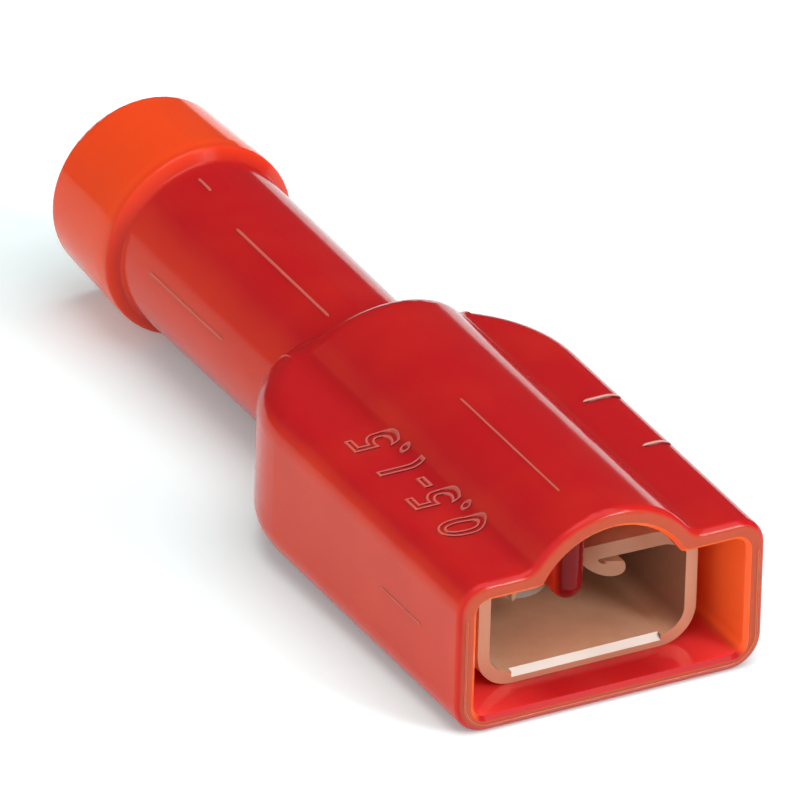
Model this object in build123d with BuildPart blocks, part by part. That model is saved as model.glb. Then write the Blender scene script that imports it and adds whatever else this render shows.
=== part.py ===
from build123d import *
import os
from math import asin, cos, degrees, hypot, radians, sin, sqrt, tan

# Fully insulated female spade terminal for a 4.75 mm (0.187 inch) tab.
# X runs along the part with the mouth at +X, Z is up and Y = 0 is the plane of symmetry.
# The origin is under the middle of the part, level with the lowest point of the bell.

# Overall length, from the mouth of the hood to the rear rim of the bell
part_length = 22.7

# Hood: the flat, hollow front end
hood_width = 7.9
hood_height = 3.87          # flat wings above the hood's underside
hood_straight = 8.8         # straight sides, behind which the shoulders sweep round
shoulder_gap = 1.0          # flat rear edge between the two shoulders, hidden by the barrel
hood_top_radius = 0.72
hood_bottom_radius = 0.82
side_wall = 0.48
wing_wall = 0.45
floor_wall = 0.4
mouth_outer_radius = 0.2
mouth_inner_chamfer = 0.1
cavity_corner_radius = 0.32
neck_space_depth = 10.2     # from the mouth to the front end of the nylon barrel's bore
neck_space_width = 4.3

# Hump: the raised arch over the rolled lips of the contact
hump_radius = 2.48
hump_rise = 5.0             # top of the arch above the hood's underside
hump_wall = 0.48
hump_length = 10.75         # from the mouth to the top of its sloping rear face
hump_rear_slope = 30.0      # rear face, degrees from upright
hump_rear_radius = 0.7
hump_root_radius = 0.5
hump_edge_radius = 0.25     # inside, where the arch meets the ceiling of the wings

# Nylon barrel, which the crimping tool closes on
barrel_height = 1.9         # its axis above the hood's underside
barrel_front_radius = 2.09
barrel_rear_radius = 2.15
barrel_root_radius = 0.16   # where it grows out of the hood

# Bell: the thin flared sleeve that guides the wire in
bell_front_radius = 2.43
bell_rear_radius = 2.31
bell_length = 2.95
bell_land = 0.4             # straight front part, behind which the bell tapers
bell_step = 0.22            # length of the rounded step from barrel to bell
bell_step_radius = 0.12
bell_wall = 0.36
bell_rim_radius = 0.18
bell_mouth_chamfer = 0.1
funnel_length = 0.6

# Bore for the wire's insulation, behind the metal barrel
insulation_bore_radius = 1.5

# Keel: the moulded rib that hangs between the two rolled lips
keel_width = 0.76
keel_clear_height = 1.64    # its lower edge above the hood's underside
keel_setback = 1.8          # from the mouth to its rounded nose

# Tab that plugs in, and the stamped strip that the contact is folded from
tab_width = 4.75
tab_side_clearance = 0.14
sheet = 0.3

# Receptacle of the contact: a channel with two lips rolled in over the tab
contact_recess = 1.13       # from the mouth back to the front edge of the metal
receptacle_length = 6.4
ceiling_clearance = 0.16    # from the receptacle to the ceiling of the wings
floor_corner_radius = 0.89
lip_corner_radius = 0.6
lip_slope = 38.0            # degrees down towards the middle
roll_radius = 0.36
roll_turn = 255.0
slot_half_width = 0.75      # half the gap between the two rolls
lip_setback = 1.8           # the lips are cut back on a slant, this far at the gap
coined_bevel = 0.15         # along the front edge of the floor, between its corner bends
dimple_radius = 0.8
dimple_height = 0.27
dimple_setback = 3.6        # from the front edge to the dimple's middle
stop_clearance = 0.05       # between the receptacle's rear edge and the nylon shoulder

# Neck and wire barrel of the contact
neck_width = 2.8
neck_curve_radius = 6.0
neck_overlap = 0.4
neck_length = 2.1
neck_wrap = 88.0            # degrees each side of the open trough where it meets the wire barrel
wire_bore_radius = 0.875
wire_barrel_length = 5.6
seam_depth = 0.1
wire_entry_chamfer = 0.12
barrel_clearance = 0.025    # metal barrel in the nylon bore

# Distance below which a point counts as lying on a surface
same_place = 0.001

# Places worked out from the sizes above
mouth_x = part_length / 2
rear_x = -part_length / 2
axis_z = bell_front_radius
hood_z = axis_z - barrel_height
shoulder_radius = (hood_width - shoulder_gap) / 2
hood_rear_x = mouth_x - hood_straight - shoulder_radius
wing_z = hood_z + hood_height
hump_top_z = hood_z + hump_rise
hump_center_z = hump_top_z - hump_radius
contact_front_x = mouth_x - contact_recess
receptacle_rear_x = contact_front_x - receptacle_length
neck_rear_x = receptacle_rear_x - neck_length
wire_barrel_rear_x = neck_rear_x - wire_barrel_length
stop_x = receptacle_rear_x - stop_clearance
bore_front_x = mouth_x - neck_space_depth
contact_floor_z = hood_z + floor_wall
receptacle_height = hood_height - floor_wall - wing_wall - ceiling_clearance
contact_half_width = tab_width / 2 + tab_side_clearance + sheet
wire_barrel_radius = wire_bore_radius + sheet
nylon_bore_radius = wire_barrel_radius + barrel_clearance
bell_front_x = rear_x + bell_length
bell_bore_radius = bell_rear_radius - bell_wall

os.makedirs("parts", exist_ok=True)

# Hump outside, with a concave root that runs out level with the wings
root_y = sqrt((hump_radius + hump_root_radius) ** 2 - (wing_z + hump_root_radius - hump_center_z) ** 2)
touch = hump_radius / (hump_radius + hump_root_radius)
root_touch_y = root_y * touch
root_touch_z = hump_center_z + (wing_z + hump_root_radius - hump_center_z) * touch
root_angle = asin(root_y / (hump_radius + hump_root_radius)) / 2
root_mid_y = root_y - hump_root_radius * sin(root_angle)
root_mid_z = wing_z + hump_root_radius * (1 - cos(root_angle))
hump_foot_z = wing_z - wing_wall

with BuildPart() as hump:
    with BuildSketch(Plane.YZ.offset(mouth_x)):
        with BuildLine():
            Line((-root_y, hump_foot_z), (-root_y, wing_z))
            ThreePointArc((-root_y, wing_z), (-root_mid_y, root_mid_z), (-root_touch_y, root_touch_z))
            ThreePointArc((-root_touch_y, root_touch_z), (0, hump_top_z), (root_touch_y, root_touch_z))
            ThreePointArc((root_touch_y, root_touch_z), (root_mid_y, root_mid_z), (root_y, wing_z))
            Line((root_y, wing_z), (root_y, hump_foot_z))
            Line((root_y, hump_foot_z), (-root_y, hump_foot_z))
        make_face()
    extrude(amount=hood_rear_x - mouth_x)
    # Sloping rear face
    hump_rear_x = mouth_x - hump_length
    hump_foot_x = hump_rear_x - (hump_top_z - hump_foot_z) * tan(radians(hump_rear_slope))
    with BuildSketch(Plane.XZ):
        with BuildLine():
            Polyline(
                (mouth_x, hump_foot_z),
                (mouth_x, hump_top_z),
                (hump_rear_x, hump_top_z),
                (hump_foot_x, hump_foot_z),
                close=True,
            )
        make_face()
    extrude(amount=hood_width, both=True, mode=Mode.INTERSECT)
    fillet(edges().filter_by(GeomType.ELLIPSE).sort_by(Axis.Z)[-1], hump_rear_radius)

# Space inside the hood, open at the mouth
with BuildPart() as hood_space:
    cavity_width = hood_width - 2 * side_wall
    cavity_low_z = hood_z + floor_wall
    cavity_high_z = wing_z - wing_wall
    with BuildSketch(Plane.YZ.offset(mouth_x)):
        with Locations((0, (cavity_low_z + cavity_high_z) / 2)):
            Rectangle(cavity_width, cavity_high_z - cavity_low_z)
        fillet(vertices(), cavity_corner_radius)
        with Locations((0, hump_center_z)):
            Circle(hump_radius - hump_wall)
        fillet(vertices().sort_by_distance((0, cavity_high_z))[:2], hump_edge_radius)
    extrude(amount=-(mouth_x - stop_x))
    # Narrower space for the neck of the contact, behind the shoulders that stop the receptacle
    with BuildSketch(Plane.YZ.offset(stop_x)):
        with Locations((0, (cavity_low_z + cavity_high_z) / 2)):
            Rectangle(neck_space_width, cavity_high_z - cavity_low_z)
        fillet(vertices(), cavity_corner_radius)
        with Locations((0, hump_center_z)):
            Circle(hump_radius - hump_wall)
    extrude(amount=-(stop_x - bore_front_x))

# Barrel and bell outside, turned about the axis of the wire
with BuildPart() as sleeve:
    with BuildSketch(Plane.XZ):
        with BuildLine():
            Polyline(
                (bore_front_x, axis_z),
                (bore_front_x, axis_z + barrel_front_radius),
                (bell_front_x + bell_step, axis_z + barrel_rear_radius),
                (bell_front_x, axis_z + bell_front_radius),
                (bell_front_x - bell_land, axis_z + bell_front_radius),
                (rear_x, axis_z + bell_rear_radius),
                (rear_x, axis_z),
                close=True,
            )
        make_face()
        step_corners = vertices().sort_by_distance((bell_front_x + bell_step / 2, axis_z + bell_front_radius))
        fillet(step_corners[:2], bell_step_radius)
    revolve(axis=Axis((0, 0, axis_z), (1, 0, 0)))

# Bores for the metal barrel, the insulation and the bell, turned about the same axis
with BuildPart() as sleeve_bores:
    with BuildSketch(Plane.XZ):
        with BuildLine():
            Polyline(
                (stop_x, axis_z),
                (stop_x, axis_z + nylon_bore_radius),
                (wire_barrel_rear_x, axis_z + nylon_bore_radius),
                (wire_barrel_rear_x, axis_z + insulation_bore_radius),
                (bell_front_x + funnel_length, axis_z + insulation_bore_radius),
                (bell_front_x, axis_z + bell_bore_radius),
                (rear_x, axis_z + bell_bore_radius),
                (rear_x, axis_z),
                close=True,
            )
        make_face()
    revolve(axis=Axis((0, 0, axis_z), (1, 0, 0)))

# Keel between the rolled lips, with a rounded nose and a rounded lower edge
with BuildPart() as keel:
    keel_radius = keel_width / 2
    keel_nose_x = mouth_x - keel_setback - keel_radius
    keel_low_z = hood_z + keel_clear_height + keel_radius
    keel_top_z = hump_top_z - hump_wall / 2
    with BuildSketch(Plane.YZ.offset(keel_nose_x)):
        with Locations((0, (keel_low_z + keel_top_z) / 2)):
            Rectangle(keel_width, keel_top_z - keel_low_z)
        with Locations((0, keel_low_z)):
            Circle(keel_radius)
    extrude(amount=stop_x - keel_nose_x)
    with BuildSketch(Plane.XY.offset(keel_low_z)):
        with Locations((keel_nose_x, 0)):
            Circle(keel_radius)
    extrude(amount=keel_top_z - keel_low_z)
    with Locations((keel_nose_x, 0, keel_low_z)):
        Sphere(keel_radius)

barrel_taper = (barrel_rear_radius - barrel_front_radius) / (bore_front_x - bell_front_x - bell_step)


def on_barrel(edge):
    """Whether an edge lies on the slightly tapered outside of the barrel."""
    return all(
        abs(hypot(spot.Y, spot.Z - axis_z) - barrel_front_radius - barrel_taper * (bore_front_x - spot.X))
        < same_place
        for spot in (edge @ 0.25, edge @ 0.75)
    )


# Housing: hood, hump, barrel and bell, moulded as one piece
with BuildPart() as housing:
    with BuildSketch(Plane.XY.offset(hood_z)):
        with Locations(((mouth_x + hood_rear_x) / 2, 0)):
            Rectangle(mouth_x - hood_rear_x, hood_width)
        fillet(vertices().group_by(Axis.X)[0], shoulder_radius)
    extrude(amount=hood_height)
    fillet(faces().sort_by(Axis.Z)[-1].edges().sort_by(Axis.X)[:-1], hood_top_radius)
    fillet(faces().sort_by(Axis.Z)[0].edges().sort_by(Axis.X)[:-1], hood_bottom_radius)
    add(hump.part)
    add(sleeve.part)
    add(hood_space.part, mode=Mode.SUBTRACT)
    add(sleeve_bores.part, mode=Mode.SUBTRACT)
    add(keel.part)
    mouth_rim = faces().sort_by(Axis.X)[-1]
    fillet(mouth_rim.outer_wire().edges(), mouth_outer_radius)
    mouth_rim = faces().sort_by(Axis.X)[-1]
    chamfer(mouth_rim.inner_wires().edges(), mouth_inner_chamfer)
    bell_rim = faces().sort_by(Axis.X)[0]
    fillet(bell_rim.outer_wire().edges(), bell_rim_radius)
    bell_rim = faces().sort_by(Axis.X)[0]
    chamfer(bell_rim.inner_wires().edges(), bell_mouth_chamfer)
    # Root of the barrel, rounded on one half, which is then mirrored
    split(bisect_by=Plane.XZ)
    root_edges = edges().filter_by_position(Axis.X, hood_rear_x, bore_front_x - barrel_root_radius)
    fillet(root_edges.filter_by(on_barrel), barrel_root_radius)
    mirror(about=Plane.XZ)

housing.part.label = "housing"

# Middle line of the folded strip, right half, from the middle of the floor to the end of the roll
half_sheet = sheet / 2
strip_floor_z = contact_floor_z + half_sheet
strip_side_y = contact_half_width - half_sheet
corner_bend = floor_corner_radius - half_sheet
lip_bend = lip_corner_radius - half_sheet
roll_bend = roll_radius - half_sheet
corner_y = contact_half_width - floor_corner_radius
corner_z = contact_floor_z + floor_corner_radius
lip_y = contact_half_width - lip_corner_radius
lip_z = contact_floor_z + receptacle_height - lip_corner_radius
slope = radians(lip_slope)
roll_y = slot_half_width + roll_radius
lip_start = (lip_y - lip_bend * sin(slope), lip_z + lip_bend * cos(slope))
lip_end_y = roll_y - roll_bend * sin(slope)
lip_end = (lip_end_y, lip_start[1] - (lip_start[0] - lip_end_y) * tan(slope))
roll_z = lip_end[1] - roll_bend * cos(slope)

# Neck sections
wire_middle_radius = wire_bore_radius + half_sheet
neck_half_angle = degrees(asin(neck_width / 2 / neck_curve_radius))


def trough_section(x, middle_radius, half_angle, bottom_z):
    """Section of the strip bent round a circle, open at the top, across the part at x."""
    center_z = bottom_z + middle_radius + half_sheet
    outer = middle_radius + half_sheet
    inner = middle_radius - half_sheet
    reach_y, reach_z = sin(radians(half_angle)), -cos(radians(half_angle))
    with BuildSketch(Plane.YZ.offset(x)) as section:
        with BuildLine():
            CenterArc((0, center_z), outer, -90 - half_angle, 2 * half_angle)
            Line(
                (outer * reach_y, center_z + outer * reach_z),
                (inner * reach_y, center_z + inner * reach_z),
            )
            CenterArc((0, center_z), inner, -90 + half_angle, -2 * half_angle)
            Line(
                (-inner * reach_y, center_z + inner * reach_z),
                (-outer * reach_y, center_z + outer * reach_z),
            )
        make_face()
    return section.sketch


with BuildPart() as contact:
    # Receptacle
    with BuildSketch(Plane.YZ.offset(contact_front_x)):
        with BuildLine():
            Line((0, strip_floor_z), (corner_y, strip_floor_z))
            CenterArc((corner_y, corner_z), corner_bend, -90, 90)
            Line((strip_side_y, corner_z), (strip_side_y, lip_z))
            CenterArc((lip_y, lip_z), lip_bend, 0, 90 + lip_slope)
            Line(lip_start, lip_end)
            CenterArc((roll_y, roll_z), roll_bend, 90 + lip_slope, roll_turn)
            mirror(about=Plane.YZ)
        trace(line_width=sheet)
    extrude(amount=-receptacle_length)
    # The lips are cut back on a slant from their corner bends to the gap between them
    with BuildSketch(Plane.XY.offset(corner_z)):
        with BuildLine():
            Polyline(
                (contact_front_x, -lip_y),
                (contact_front_x - lip_setback, -slot_half_width),
                (contact_front_x - lip_setback, slot_half_width),
                (contact_front_x, lip_y),
                close=True,
            )
        make_face()
    extrude(amount=receptacle_height, mode=Mode.SUBTRACT)
    # Bevel coined along the front edge of the floor, to lead the tab in
    floor_top_z = contact_floor_z + sheet
    with BuildSketch(Plane.XZ):
        with BuildLine():
            Polyline(
                (contact_front_x - coined_bevel, floor_top_z),
                (contact_front_x, floor_top_z - coined_bevel),
                (contact_front_x + coined_bevel, floor_top_z),
                close=True,
            )
        make_face()
    extrude(amount=corner_y, both=True, mode=Mode.SUBTRACT)
    # Dimple pressed up in the floor, which drops into the hole of the tab
    dimple_x = contact_front_x - dimple_setback
    dimple_curve = (dimple_radius**2 + dimple_height**2) / (2 * dimple_height)
    dimple_plane = Plane((dimple_x, 0, floor_top_z), x_dir=(1, 0, 0), z_dir=(0, -1, 0))
    with BuildSketch(dimple_plane):
        with BuildLine():
            Line((0, -half_sheet), (0, dimple_height))
            RadiusArc((0, dimple_height), (dimple_radius, 0), dimple_curve)
            Line((dimple_radius, 0), (dimple_radius, -half_sheet))
            Line((dimple_radius, -half_sheet), (0, -half_sheet))
        make_face()
    revolve(axis=Axis((dimple_x, 0, 0), (0, 0, 1)))
    # Neck: a trough that narrows and wraps round to meet the wire barrel
    loft(
        [
            trough_section(receptacle_rear_x + neck_overlap, neck_curve_radius, neck_half_angle, contact_floor_z),
            trough_section(neck_rear_x, wire_middle_radius, neck_wrap, axis_z - wire_barrel_radius),
        ],
        ruled=True,
    )
    # Wire barrel, rolled up until its edges meet in a seam along the top
    with BuildSketch(Plane.YZ.offset(neck_rear_x)):
        with Locations((0, axis_z)):
            Circle(wire_barrel_radius)
            Circle(wire_bore_radius, mode=Mode.SUBTRACT)
    extrude(amount=-wire_barrel_length)
    chamfer(edges().group_by(Axis.X)[0].sort_by(SortBy.LENGTH)[0], wire_entry_chamfer)
    with BuildSketch(Plane.YZ.offset(neck_rear_x)):
        with BuildLine():
            Polyline(
                (-seam_depth, axis_z + wire_barrel_radius + seam_depth / 2),
                (0, axis_z + wire_barrel_radius - seam_depth),
                (seam_depth, axis_z + wire_barrel_radius + seam_depth / 2),
                close=True,
            )
        make_face()
    extrude(amount=-wire_barrel_length, mode=Mode.SUBTRACT)

contact.part.label = "contact"

for piece in (housing, contact):
    export_step(piece.part, "parts/" + piece.part.label + ".step")
    print(piece.part.label, len(piece.part.solids()), round(piece.part.volume, 2))
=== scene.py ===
from math import cos, pi, radians, sin

import bmesh
import bpy
import numpy as np
from mathutils import Matrix, Vector


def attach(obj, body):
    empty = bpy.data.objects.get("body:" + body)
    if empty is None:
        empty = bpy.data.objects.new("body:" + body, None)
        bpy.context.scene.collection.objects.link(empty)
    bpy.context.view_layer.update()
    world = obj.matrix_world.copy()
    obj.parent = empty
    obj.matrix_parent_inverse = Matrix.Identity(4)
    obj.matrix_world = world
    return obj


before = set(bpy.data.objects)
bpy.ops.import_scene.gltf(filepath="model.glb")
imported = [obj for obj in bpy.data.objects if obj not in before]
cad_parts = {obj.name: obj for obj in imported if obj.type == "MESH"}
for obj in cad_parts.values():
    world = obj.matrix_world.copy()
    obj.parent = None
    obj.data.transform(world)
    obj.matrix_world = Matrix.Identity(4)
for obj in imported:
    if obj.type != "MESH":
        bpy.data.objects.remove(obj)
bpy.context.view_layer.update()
print("frame loaded")

mm = 0.001


# camera: the photo's viewing angle, from a fit of the model's outline to the photo's
view = {
    "azimuth": 60.59,       # degrees round from looking along +Y
    "elevation": 29.70,
    "roll": 1.92,
    "pixelsPerMm": 44.27,
    "photoSize": 800,       # pixels along each side
    "lens": 1509.0,         # mm, long, so that parallel edges stay nearly parallel as in the photo
    "sensor": 36.0,         # mm
    "nearest": 0.01,        # m, what is drawn lies between these distances
    "farthest": 50.0,
    "anchor": (11.35, 0.0, 0.555),      # mm, a point on the model
    "anchorPixel": (609.25, 701.32),    # where that point lies in the photo's frame
}


def linear(hexColour):
    # sRGB hex to linear RGBA: near black a channel is divided by 12.92, and elsewhere it has 0.055
    # added, is divided by 1.055 and is raised to the power 2.4
    value = hexColour.lstrip("#")
    channels = [int(value[i:i + 2], 16) / 255 for i in (0, 2, 4)]
    return [c / 12.92 if c <= 0.04045 else ((c + 0.055) / 1.055) ** 2.4 for c in channels] + [1.0]


def addCamera():
    # back points from the part to the camera, at the azimuth and elevation. The target is the
    # anchor, moved across the view until the anchor falls on its pixel, and the distance is
    # lens / sensor x the picture's width in metres.
    az, el, roll = (radians(view[k]) for k in ("azimuth", "elevation", "roll"))
    back = Vector((sin(az) * cos(el), -cos(az) * cos(el), sin(el)))
    flatRight = Vector((cos(az), sin(az), 0.0))
    flatUp = back.cross(flatRight)
    right = flatRight * cos(roll) + flatUp * sin(roll)
    up = flatUp * cos(roll) - flatRight * sin(roll)
    scale = view["pixelsPerMm"] / mm
    middle = view["photoSize"] / 2
    offsetX = (middle - view["anchorPixel"][0]) / scale
    offsetY = (view["anchorPixel"][1] - middle) / scale
    target = Vector(view["anchor"]) * mm + right * offsetX + up * offsetY
    camera = bpy.data.cameras.new("camera")
    camera.lens = view["lens"]
    camera.sensor_width = view["sensor"]
    camera.clip_start = view["nearest"]
    camera.clip_end = view["farthest"]
    holder = bpy.data.objects.new("camera", camera)
    axes = Matrix((right, up, back)).transposed().to_4x4()
    distance = view["lens"] / view["sensor"] * view["photoSize"] / scale
    axes.translation = target + back * distance
    holder.matrix_world = axes
    bpy.context.scene.collection.objects.link(holder)
    bpy.context.scene.camera = holder


addCamera()
print("camera placed")


def addNode(material, kind, links=None, **settings):
    # one node, with its settings and what feeds its inputs
    tree = material.node_tree
    node = tree.nodes.new(kind)
    for key, value in settings.items():
        setattr(node, key, value)
    for socket, source in (links or {}).items():
        target = node.inputs[socket]
        if isinstance(source, bpy.types.NodeSocket):
            tree.links.new(source, target)
        else:
            target.default_value = source
    return node


def newMaterial(name):
    # a material with no nodes yet
    material = bpy.data.materials.new(name)
    material.use_nodes = True
    material.node_tree.nodes.clear()
    return material


def finishMaterial(material, shader):
    # the shader goes to the surface
    addNode(material, "ShaderNodeOutputMaterial", {"Surface": shader.outputs[0]})
    return material


# studio: a white table lit a little from below with cool light, which keeps the shadow pale, soft
# lights overhead and ahead on the far side, and a room that is bright on the camera's side and dim
# behind the part
studio = {
    "tableWhite": "#EEF6F6",
    "tableRoughness": 0.9,          # matt card
    "tableShine": 0.2,
    "tableGlow": "#CBFFFF",
    "tableGlowStrength": 0.14,
    "tableSize": 1600.0,            # mm
    "bellTouchX": -8.4,             # mm, where the bell's lowest line touches the table
    "mouthTouch": (11.15, 0.53),    # mm, x and z of the mouth's lower rim, which touches it too
    "farWall": 0.07,                # how bright the room is behind the part
    "nearWall": 1.24,               # and on the camera's side
    "nearWay": (0.45, -0.88, 0.15),
    # name: place in m, size in m, power in W
    "lights": {
        "overhead": ((0.05, 0.03, 0.40), 0.42, 1.20),
        "ahead": ((0.30, 0.25, 0.42), 0.24, 0.45),
        "aheadLow": ((0.43, 0.25, 0.23), 0.20, 1.80),
    },
}


def addLight(name, place, size, power):
    # a round soft light that shines from its place at the origin
    light = bpy.data.lights.new(name, "AREA")
    light.shape = "DISK"
    light.size = size
    light.energy = power
    lamp = bpy.data.objects.new(name, light)
    lamp.location = place
    lamp.rotation_euler = Vector(place).to_track_quat("Z", "Y").to_euler()
    bpy.context.scene.collection.objects.link(lamp)


def addTable():
    # the part lies on its bell and on the mouth's lower rim, so the table leans a little in the
    # part's frame: its height is the distance in front of the bell's touch x the slope between the
    # two touches
    half = studio["tableSize"] / 2
    touchX, touchZ = studio["mouthTouch"]
    slope = touchZ / (touchX - studio["bellTouchX"])
    corners = [(-half, -half), (half, -half), (half, half), (-half, half)]
    points = [(x * mm, y * mm, (x - studio["bellTouchX"]) * slope * mm) for x, y in corners]
    mesh = bpy.data.meshes.new("table")
    mesh.from_pydata(points, [], [(0, 1, 2, 3)])
    table = bpy.data.objects.new("table", mesh)
    bpy.context.scene.collection.objects.link(table)
    card = newMaterial("white matt card")
    shader = addNode(card, "ShaderNodeBsdfPrincipled", {
        "Base Color": linear(studio["tableWhite"]),
        "Roughness": studio["tableRoughness"],
        "Specular IOR Level": studio["tableShine"],
        "Emission Color": linear(studio["tableGlow"]),
        "Emission Strength": studio["tableGlowStrength"],
    })
    mesh.materials.append(finishMaterial(card, shader))


def addRoom():
    # how bright the room is in each direction: nearWall along nearWay, evenly less as the direction
    # turns away from it, and farWall from right angles on
    world = bpy.data.worlds.new("studio")
    bpy.context.scene.world = world
    world.use_nodes = True
    direction = addNode(world, "ShaderNodeTexCoord").outputs["Generated"]
    way = addNode(world, "ShaderNodeVectorMath", {
        0: direction, 1: studio["nearWay"]}, operation="DOT_PRODUCT")
    room = addNode(world, "ShaderNodeMapRange", {
        "Value": way.outputs["Value"], "From Min": 0.0, "From Max": 1.0,
        "To Min": studio["farWall"], "To Max": studio["nearWall"]})
    background = world.node_tree.nodes["Background"]
    world.node_tree.links.new(room.outputs[0], background.inputs["Color"])


addTable()
addRoom()
for name, (place, size, power) in studio["lights"].items():
    addLight(name, place, size, power)
bpy.context.scene.view_settings.view_transform = "Standard"
print("studio ready")


def measureSurface(material, coord):
    # what a mask can follow, each with its unit: the place on the piece, the way the surface faces,
    # the distance from the middle plane, and facing y x place y, which is below zero where a wall
    # looks towards the middle
    place = addNode(material, "ShaderNodeSeparateXYZ", {0: coord})
    normal = addNode(material, "ShaderNodeNewGeometry").outputs["Normal"]
    facing = addNode(material, "ShaderNodeSeparateXYZ", {0: normal})
    fromMiddle = addNode(
        material, "ShaderNodeMath", {0: place.outputs["Y"]}, operation="ABSOLUTE")
    sideways = addNode(material, "ShaderNodeMath", {
        0: facing.outputs["Y"], 1: place.outputs["Y"]}, operation="MULTIPLY")
    return {
        "x": (place.outputs["X"], mm),
        "z": (place.outputs["Z"], mm),
        "facingX": (facing.outputs["X"], 1.0),
        "facingY": (facing.outputs["Y"], 1.0),
        "facingZ": (facing.outputs["Z"], 1.0),
        "fromMiddle": (fromMiddle.outputs[0], mm),
        "sideways": (sideways.outputs[0], mm),
    }


# nylon 6/6, injection moulded: a deep red with a soft gloss that light wanders into. The orange in
# the thin walls of the bell and the mouth is a painted glow of light coming through them
nylon = {
    "thick": "#AE191D",
    # painted glow of light through the thin walls
    "thin": "#DE461C",
    "rim": "#A84830",           # the mouth's front face, painted darker and greyer as shade
    "litWall": "#FF6E34",       # inside the mouth, where daylight comes through the walls
    "litFloor": "#E63C38",
    "deep": "#6E0C10",          # the keel's nose, in shade and thick
    "ridgeHighlight": "#DC5A54",        # raised lines, painted paler than the wall as a highlight
    "markHighlight": "#F09C92",          # the two strip marks, paler still: a painted highlight
    "ior": 1.53,
    "shine": 0.14,
    "glow": 0.55,               # share of light that wanders under the surface
    "glowDepth": 0.9,           # mm
    "glowSpread": (1.0, 0.25, 0.10),    # red light wanders farthest
    "cloudSize": 2.5,           # mm, uneven dye
    "cloudDetail": 2.0,
    # slow waves where the wall shrank as it cooled, and over them the faint orange peel of the
    # mould: size in mm, detail, strength, depth in mm
    "bumps": ((1.6, 1.0, 0.25, 0.02), (0.09, 3.0, 0.12, 0.003)),
    # name: what it follows, where it starts and where it is full, in mm where that is a length,
    # and its two values where they aren't 0 and 1
    "masks": {
        # bell and side take the dye towards the painted glow, on the bell and on every face turned
        # sideways
        "bell": ("x", -8.05, -8.65),
        "side": ("facingSide", 0.65, 1.0, 0.0, 0.48),
        "uneven": ("cloud", 0.3, 0.7, -0.06, 0.10),
        "roughness": ("cloud", 0.3, 0.7, 0.09, 0.16),
        "rimFace": ("facingX", 0.75, 1.0),
        "rimPlace": ("x", 11.0, 11.3),
        "floorFace": ("facingZ", 0.8, 0.95),
        "floorPlace": ("z", 1.6, 1.3),          # below anything else that looks up
        "nearWalls": ("fromMiddle", 1.2, 3.4, 0.05, 1.0),
        "ceilingFace": ("facingZ", -0.2, -0.7),
        "ceilingPlace": ("z", 3.0, 3.6),
        "inward": ("sideways", -1.0, -3.0),
        "noseFace": ("facingX", 0.3, 0.7),
        "behindMouth": ("x", 10.6, 10.3),
        "beforeStops": ("x", 2.0, 3.0),
    },
    # painted light and shade laid over the dye, in this order, and the masks of each
    "layers": (
        ("rim", ("rimFace", "rimPlace")),
        ("litFloor", ("floorFace", "floorPlace", "nearWalls")),
        ("litWall", ("ceilingFace", "ceilingPlace")),
        ("litWall", ("inward",)),
        ("deep", ("noseFace", "behindMouth", "beforeStops")),
    ),
}


def makeNylon(name, thick):
    # a mask is how far what it follows has come from its start to full. Dye = thick to the painted
    # glow of the thin walls by the larger of bell and side, plus uneven, and then for each layer of
    # painted light and shade: dye + (its colour - dye) x the product of its masks. The raised lines
    # and marks pass a paler colour as thick: a painted highlight.
    material = newMaterial(name)
    coord = addNode(material, "ShaderNodeTexCoord").outputs["Object"]
    measured = measureSurface(material, coord)
    turned = addNode(
        material, "ShaderNodeMath", {0: measured["facingY"][0]}, operation="ABSOLUTE")
    cloud = addNode(material, "ShaderNodeTexNoise", {
        "Vector": coord, "Scale": 1 / (nylon["cloudSize"] * mm), "Detail": nylon["cloudDetail"]})
    measured["facingSide"] = (turned.outputs[0], 1.0)
    measured["cloud"] = (cloud.outputs["Fac"], 1.0)
    masks = {}
    for key, (what, start, full, *ends) in nylon["masks"].items():
        value, unit = measured[what]
        low, high = ends or (0.0, 1.0)
        masks[key] = addNode(material, "ShaderNodeMapRange", {
            "Value": value, "From Min": start * unit, "From Max": full * unit,
            "To Min": low, "To Max": high}).outputs[0]

    thin = addNode(material, "ShaderNodeMath", {
        0: masks["bell"], 1: masks["side"]}, operation="MAXIMUM")
    share = addNode(material, "ShaderNodeMath", {
        0: thin.outputs[0], 1: masks["uneven"]}, operation="ADD", use_clamp=True)
    dye = addNode(material, "ShaderNodeMix", {
        "Factor": share.outputs[0], 6: linear(thick), 7: linear(nylon["thin"])}, data_type="RGBA")
    for colour, keys in nylon["layers"]:
        share = masks[keys[0]]
        for key in keys[1:]:
            share = addNode(material, "ShaderNodeMath", {
                0: share, 1: masks[key]}, operation="MULTIPLY").outputs[0]
        dye = addNode(material, "ShaderNodeMix", {
            "Factor": share, 6: dye.outputs[2], 7: linear(nylon[colour])}, data_type="RGBA")

    below = {}
    for size, detail, strength, depth in nylon["bumps"]:
        noise = addNode(material, "ShaderNodeTexNoise", {
            "Vector": coord, "Scale": 1 / (size * mm), "Detail": detail})
        bump = addNode(material, "ShaderNodeBump", {
            "Strength": strength, "Distance": depth * mm,
            "Height": noise.outputs["Fac"], **below})
        below = {"Normal": bump.outputs["Normal"]}
    shader = addNode(material, "ShaderNodeBsdfPrincipled", {
        "Base Color": dye.outputs[2],
        "Roughness": masks["roughness"],
        "IOR": nylon["ior"],
        "Specular IOR Level": nylon["shine"],
        "Subsurface Weight": nylon["glow"],
        "Subsurface Radius": nylon["glowSpread"],
        "Subsurface Scale": nylon["glowDepth"] * mm,
        **below,
    })
    return finishMaterial(material, shader)


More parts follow.
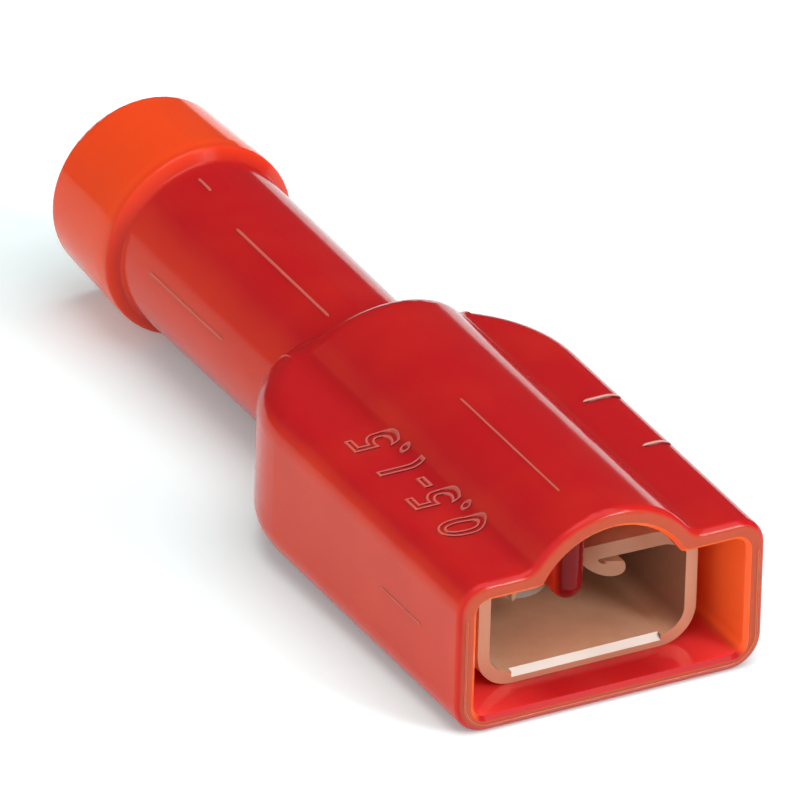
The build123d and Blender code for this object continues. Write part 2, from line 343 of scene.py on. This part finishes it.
# brass strip, rolled, stamped and then tin plated: a grey-gold satin with fine marks along the
# rolling direction
tin = {
    # bright and dull: the plating's own grey-gold, with a painted red glow bounced from the nylon
    # that tints it tan
    "bright": "#F0C8A4",
    "dull": "#CC9A74",
    "coined": "#BEB6AC",        # the bevel at the front edge, polished by the tool that pressed it
    "cut": "#B97E63",           # the sheared front edges, bare brass, with a painted red reflection of the nylon
    "rolled": "#B79D88",        # the same edges on the two rolls, painted paler and greyer as lit through the mouth
    "shade": "#8A5C46",         # painted shade on the inside of the side walls, under the lips
    "metallic": 0.25,           # low, as the dull plating scatters more light than it mirrors
    "markSize": 0.05,           # mm
    "markDetail": 2.0,
    "markStretch": (0.06, 1.0, 1.0),    # long along x
    "markStrength": 0.3,
    "markDepth": 0.004,         # mm
    "stainSize": 0.9,           # mm
    "stainDetail": 4.0,
    # masks and layers as for the nylon
    "masks": {
        "roughness": ("stain", 0.35, 0.65, 0.30, 0.48),
        "cutFace": ("facingX", 0.55, 0.7),
        "atFront": ("x", 5.0, 6.0),
        "nearMiddle": ("fromMiddle", 1.75, 1.45),
        "aboveFloor": ("z", 2.0, 2.3),
        "coinedFace": ("leaning", 0.3, 0.45),
        "onFloor": ("z", 1.7, 1.4),
        "inward": ("sideways", -0.8, -2.2, 0.0, 0.85),
    },
    "layers": (
        ("coined", ("coinedFace", "onFloor")),
        ("shade", ("inward",)),
    ),
}


def makeTin():
    # tone = bright to dull by the stains, then the cut edges with their painted red reflection,
    # painted paler and greyer as lit where they are rolled near the middle and above the floor, and
    # then the layers. Leaning is facing x x facing z, largest on a bevel half way between the two.
    material = newMaterial("tin plated brass")
    coord = addNode(material, "ShaderNodeTexCoord").outputs["Object"]
    stretch = addNode(
        material, "ShaderNodeMapping", {"Vector": coord, "Scale": tin["markStretch"]})
    marks = addNode(material, "ShaderNodeTexNoise", {
        "Vector": stretch.outputs["Vector"], "Scale": 1 / (tin["markSize"] * mm),
        "Detail": tin["markDetail"]})
    stain = addNode(material, "ShaderNodeTexNoise", {
        "Vector": coord, "Scale": 1 / (tin["stainSize"] * mm), "Detail": tin["stainDetail"]})
    measured = measureSurface(material, coord)
    leaning = addNode(material, "ShaderNodeMath", {
        0: measured["facingX"][0], 1: measured["facingZ"][0]}, operation="MULTIPLY")
    measured["leaning"] = (leaning.outputs[0], 1.0)
    measured["stain"] = (stain.outputs["Fac"], 1.0)
    masks = {}
    for key, (what, start, full, *ends) in tin["masks"].items():
        value, unit = measured[what]
        low, high = ends or (0.0, 1.0)
        masks[key] = addNode(material, "ShaderNodeMapRange", {
            "Value": value, "From Min": start * unit, "From Max": full * unit,
            "To Min": low, "To Max": high}).outputs[0]

    rolled = addNode(material, "ShaderNodeMath", {
        0: masks["nearMiddle"], 1: masks["aboveFloor"]}, operation="MULTIPLY")
    cutTone = addNode(material, "ShaderNodeMix", {
        "Factor": rolled.outputs[0], 6: linear(tin["cut"]), 7: linear(tin["rolled"])},
        data_type="RGBA")
    cut = addNode(material, "ShaderNodeMath", {
        0: masks["cutFace"], 1: masks["atFront"]}, operation="MULTIPLY")
    tone = addNode(material, "ShaderNodeMix", {
        "Factor": stain.outputs["Fac"], 6: linear(tin["bright"]), 7: linear(tin["dull"])},
        data_type="RGBA")
    tone = addNode(material, "ShaderNodeMix", {
        "Factor": cut.outputs[0], 6: tone.outputs[2], 7: cutTone.outputs[2]}, data_type="RGBA")
    for colour, keys in tin["layers"]:
        share = masks[keys[0]]
        for key in keys[1:]:
            share = addNode(material, "ShaderNodeMath", {
                0: share, 1: masks[key]}, operation="MULTIPLY").outputs[0]
        tone = addNode(material, "ShaderNodeMix", {
            "Factor": share, 6: tone.outputs[2], 7: linear(tin[colour])}, data_type="RGBA")
    bump = addNode(material, "ShaderNodeBump", {
        "Strength": tin["markStrength"], "Distance": tin["markDepth"] * mm,
        "Height": marks.outputs["Fac"]})
    shader = addNode(material, "ShaderNodeBsdfPrincipled", {
        "Base Color": tone.outputs[2],
        "Metallic": tin["metallic"],
        "Roughness": masks["roughness"],
        "Normal": bump.outputs["Normal"],
    })
    return finishMaterial(material, shader)


redNylon = makeNylon("moulded red nylon", nylon["thick"])
# the raised lines, digits and marks get paler copies of the nylon: a painted highlight
ridgeHighlightNylon = makeNylon("red nylon, painted ridge highlight", nylon["ridgeHighlight"])
markHighlightNylon = makeNylon("red nylon, painted mark highlight", nylon["markHighlight"])
tinnedBrass = makeTin()
for nodeName, material in (("housing", redNylon), ("contact", tinnedBrass)):
    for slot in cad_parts[nodeName].material_slots:
        slot.material = material
print("materials ready")


# the outside of the hood, mm, for what is moulded on it
hood = {
    "wingZ": 4.40,
    "humpRadius": 2.48,
    "humpCenterZ": 3.05,
    "rootRadius": 0.50,
    "edgeRadius": 0.72,
    "halfWidth": 3.95,
}


def topHeight(y):
    # height of the hood's top at y: arch, then its concave root, then the flat wing, then the
    # rounded edge. Each curve is the height of its centre, plus or minus the root of radius squared
    # less distance squared.
    r = np.abs(y)
    radius, root, edge = hood["humpRadius"], hood["rootRadius"], hood["edgeRadius"]
    rootZ = hood["wingZ"] + root
    rootY = np.sqrt((radius + root) ** 2 - (rootZ - hood["humpCenterZ"]) ** 2)
    touchY = rootY * radius / (radius + root)
    edgeY = hood["halfWidth"] - edge
    arch = hood["humpCenterZ"] + np.sqrt(np.maximum(radius ** 2 - r ** 2, 0))
    hollow = rootZ - np.sqrt(np.maximum(root ** 2 - (rootY - r) ** 2, 0))
    rounded = hood["wingZ"] - edge + np.sqrt(np.maximum(edge ** 2 - (r - edgeY) ** 2, 0))
    return np.select([r < touchY, r < rootY, r < edgeY], [arch, hollow, hood["wingZ"]], rounded)


sharpAngle = radians(40)    # edges that turn more than this stay crisp


def addPiece(name, points, faces, material):
    # a moulded mark on the housing, from points in mm, with its faces turned outwards
    mesh = bpy.data.meshes.new(name)
    mesh.from_pydata((np.asarray(points) * mm).tolist(), [], faces)
    mesh.materials.append(material)
    work = bmesh.new()
    work.from_mesh(mesh)
    bmesh.ops.recalc_face_normals(work, faces=work.faces)
    work.to_mesh(mesh)
    work.free()
    mesh.shade_smooth()
    mesh.set_sharp_from_angle(angle=sharpAngle)
    piece = bpy.data.objects.new(name, mesh)
    bpy.context.scene.collection.objects.link(piece)
    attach(piece, "root")


ridge = {
    "sunk": 0.03,       # mm, how far the flat back lies below the surface
    "roundSteps": 9,    # points across the round
    "tip": 0.02,        # share of the width: nearer to an end than this it narrows no further
}


def addRidge(name, path, up, width, height, material):
    # a half-round ridge laid along a path on a surface: each section is a half ellipse, width
    # across and height out of the surface, that narrows towards the ridge's two ends as a round
    # tip does, closed by a flat back sunk below the surface
    path, up = np.asarray(path, float), np.asarray(up, float)
    along = np.gradient(path, axis=0)
    along /= np.linalg.norm(along, axis=1, keepdims=True)
    up = up - along * (up * along).sum(axis=1, keepdims=True)
    up /= np.linalg.norm(up, axis=1, keepdims=True)
    side = np.cross(along, up)
    run = np.concatenate([[0], np.cumsum(np.linalg.norm(np.diff(path, axis=0), axis=1))])
    ends = np.minimum(run, run[-1] - run) / width
    taper = np.sqrt(1 - (1 - np.clip(ends, ridge["tip"], 1)) ** 2)[:, None, None]
    turn = np.linspace(0, pi, ridge["roundSteps"])[None, :, None]
    across, out = side[:, None] * width / 2, up[:, None] * height
    rings = path[:, None] + taper * (across * np.cos(turn) + out * np.sin(turn))
    edges = np.array([-1, 1])[None, :, None]
    back = path[:, None] - up[:, None] * ridge["sunk"] + taper * across * edges
    rings = np.concatenate([rings, back], axis=1)
    rows, columns = rings.shape[:2]
    i, j = np.meshgrid(np.arange(rows - 1), np.arange(columns), indexing="ij")
    a, b = i * columns + j, i * columns + (j + 1) % columns
    faces = np.stack([a, b, b + columns, a + columns], axis=-1).reshape(-1, 4).tolist()
    faces.append(list(range(columns))[::-1])
    faces.append(list(range((rows - 1) * columns, rows * columns)))
    addPiece(name, rings.reshape(-1, 3), faces, material)


# wire range in plain digits, raised as thin outlines on the left wing, for 0.5 to 1.5 square
# millimetres
digits = {
    "words": "0.5-1.5",
    "size": 1.62,           # mm
    "spacing": 1.12,
    "startX": 9.2,          # mm, reads from here towards the bell
    "baseY": -1.98,
    "line": 0.036,          # mm, half the width of the raised line
    "lineRounds": 2,        # how finely the line is rounded
    "curveSteps": 5,        # and how many steps each of its curves has
    "strip": 0.08,          # mm, width of the slices that let it follow the rounded top
    "sameSpot": 1e-5,       # mm, ends of the line that meet are joined
    "weld": 1e-3,           # mm, and so are points that the slices leave this near each other
    "sliver": 1e-4,         # mm, edges shorter than this are dissolved
}


def addDigits():
    # flat outlined digits, sliced across so that they can bend, then each point lifted by
    # topHeight at its y
    curve = bpy.data.curves.new("digits", "FONT")
    curve.body = digits["words"]
    curve.size = digits["size"]
    curve.space_character = digits["spacing"]
    curve.fill_mode = "NONE"
    curve.bevel_depth = digits["line"]
    curve.bevel_resolution = digits["lineRounds"]
    curve.resolution_u = digits["curveSteps"]
    holder = bpy.data.objects.new("digitsFlat", curve)
    bpy.context.scene.collection.objects.link(holder)
    bpy.context.view_layer.update()
    evaluated = holder.evaluated_get(bpy.context.evaluated_depsgraph_get())
    flat = bpy.data.meshes.new_from_object(evaluated)
    bpy.data.objects.remove(holder)
    work = bmesh.new()
    work.from_mesh(flat)
    bmesh.ops.remove_doubles(work, verts=work.verts, dist=digits["sameSpot"])
    for level in np.arange(0, digits["size"], digits["strip"]):
        everything = work.verts[:] + work.edges[:] + work.faces[:]
        bmesh.ops.bisect_plane(work, geom=everything, plane_co=(0, level, 0), plane_no=(0, 1, 0))
    bmesh.ops.remove_doubles(work, verts=work.verts, dist=digits["weld"])
    bmesh.ops.dissolve_degenerate(work, dist=digits["sliver"], edges=work.edges)
    work.to_mesh(flat)
    work.free()
    # local x runs along the part towards the bell, local y out to the wing's edge, local z out of
    # the surface
    local = np.empty(len(flat.vertices) * 3)
    flat.vertices.foreach_get("co", local)
    local = local.reshape(-1, 3)
    y = digits["baseY"] - local[:, 1]
    points = np.stack([digits["startX"] - local[:, 0], y, topHeight(y) + local[:, 2]], axis=1)
    faces = [list(face.vertices) for face in flat.polygons]
    addPiece("digits", points, faces, ridgeHighlightNylon)


addDigits()


def alongTop(xs, ys):
    # path on the hood's top, with the direction out of it: minus the slope of topHeight across,
    # and 1 up
    step = 0.01
    slope = (topHeight(ys + step) - topHeight(ys - step)) / (2 * step)
    path = np.stack([xs, ys, topHeight(ys)], axis=1)
    up = np.stack([np.zeros_like(xs), -slope, np.ones_like(xs)], axis=1)
    return path, up


# plain strip-length marks on the right wing, mm
marks = {
    "places": ((4.99, 2.67, 3.66), (7.34, 2.92, 3.66)),     # x, and y from and to
    "width": 0.14,
    "height": 0.05,
    "steps": 24,
}
for number, (x, y0, y1) in enumerate(marks["places"], 1):
    ys = np.linspace(y0, y1, marks["steps"])
    path, up = alongTop(np.full_like(ys, x), ys)
    addRidge(f"wing_mark_{number}", path, up, marks["width"], marks["height"], markHighlightNylon)


# the outside of the nylon barrel, mm
barrel = {
    "axisZ": 2.43,
    "frontX": 1.15,
    "frontRadius": 2.09,
    "rearX": -8.18,
    "rearRadius": 2.15,
}


def onBarrel(xs, angle):
    # path on the slightly tapered barrel, at an angle in degrees from straight up towards +y: the
    # radius goes evenly from front to rear, and the direction out is (0, sine, cosine)
    a = np.full_like(xs, radians(angle))
    share = (barrel["frontX"] - xs) / (barrel["frontX"] - barrel["rearX"])
    radius = barrel["frontRadius"] + share * (barrel["rearRadius"] - barrel["frontRadius"])
    out = np.stack([np.zeros_like(xs), np.sin(a), np.cos(a)], axis=1)
    axis = np.stack([xs, np.zeros_like(xs), np.full_like(xs, barrel["axisZ"])], axis=1)
    return axis + out * radius[:, None], out


# fine mould lines along the barrel, mm
barrelLines = {
    # name: x from and to, angle
    "places": {
        "barrel_line_1": (-5.4, -0.95, -19.0),
        "barrel_line_2": (-7.7, -7.1, -12.0),
        "barrel_line_3": (-6.9, -3.4, -78.0),
    },
    "width": 0.075,
    "height": 0.022,
    "steps": 60,
}
for name, (x0, x1, angle) in barrelLines["places"].items():
    path, up = onBarrel(np.linspace(x0, x1, barrelLines["steps"]), angle)
    addRidge(name, path, up, barrelLines["width"], barrelLines["height"], ridgeHighlightNylon)


# the same on the arch
archLine = {
    "fromX": 5.2,
    "toX": 9.9,
    "y": -0.66,
    "width": 0.055,
    "height": 0.016,
    "steps": 60,
}
xs = np.linspace(archLine["fromX"], archLine["toX"], archLine["steps"])
path, up = alongTop(xs, np.full_like(xs, archLine["y"]))
addRidge("arch_line", path, up, archLine["width"], archLine["height"], ridgeHighlightNylon)


# and on the left side wall
sideLine = {
    "fromX": 7.7,
    "toX": 9.6,
    "z": 2.62,
    "width": 0.06,
    "height": 0.02,
    "steps": 40,
}
xs = np.linspace(sideLine["fromX"], sideLine["toX"], sideLine["steps"])
path = np.stack([
    xs, np.full_like(xs, -hood["halfWidth"]), np.full_like(xs, sideLine["z"])], axis=1)
up = np.tile([0.0, -1.0, 0.0], (len(xs), 1))
addRidge("side_line", path, up, sideLine["width"], sideLine["height"], ridgeHighlightNylon)


# flash line round the mouth, mm, where the two halves of the mould met: down one side, under and
# up the other
flash = {
    "x": 11.35,
    "halfWidth": 3.75,
    "lowZ": 0.72,
    "highZ": 3.6,
    "cornerRadius": 0.66,
    "width": 0.06,
    "height": 0.03,
    "cornerSteps": 14,
    "legSteps": 30,
    "floorSteps": 60,
}


def addFlash():
    # a U of two straight legs, two corners and a floor. A corner is a quarter circle: in by
    # radius x (1 - cosine), and up from the floor by radius x (1 - sine).
    half, low, radius = flash["halfWidth"], flash["lowZ"], flash["cornerRadius"]
    turn = np.linspace(0, pi / 2, flash["cornerSteps"])
    legZ = np.linspace(flash["highZ"], low + radius, flash["legSteps"])[:-1]
    floorY = np.linspace(-half + radius, half - radius, flash["floorSteps"])[1:-1]
    y = np.concatenate([
        np.full_like(legZ, -half), -half + radius * (1 - np.cos(turn)), floorY,
        half - radius * (1 - np.cos(turn[::-1])), np.full_like(legZ, half)])
    z = np.concatenate([
        legZ, low + radius * (1 - np.sin(turn)), np.full_like(floorY, low),
        low + radius * (1 - np.sin(turn[::-1])), legZ[::-1]])
    path = np.stack([np.full_like(y, flash["x"]), y, z], axis=1)
    up = np.tile([1.0, 0.0, 0.0], (len(y), 1))
    addRidge("mouth_flash", path, up, flash["width"], flash["height"], ridgeHighlightNylon)


addFlash()
print("moulded marks ready")
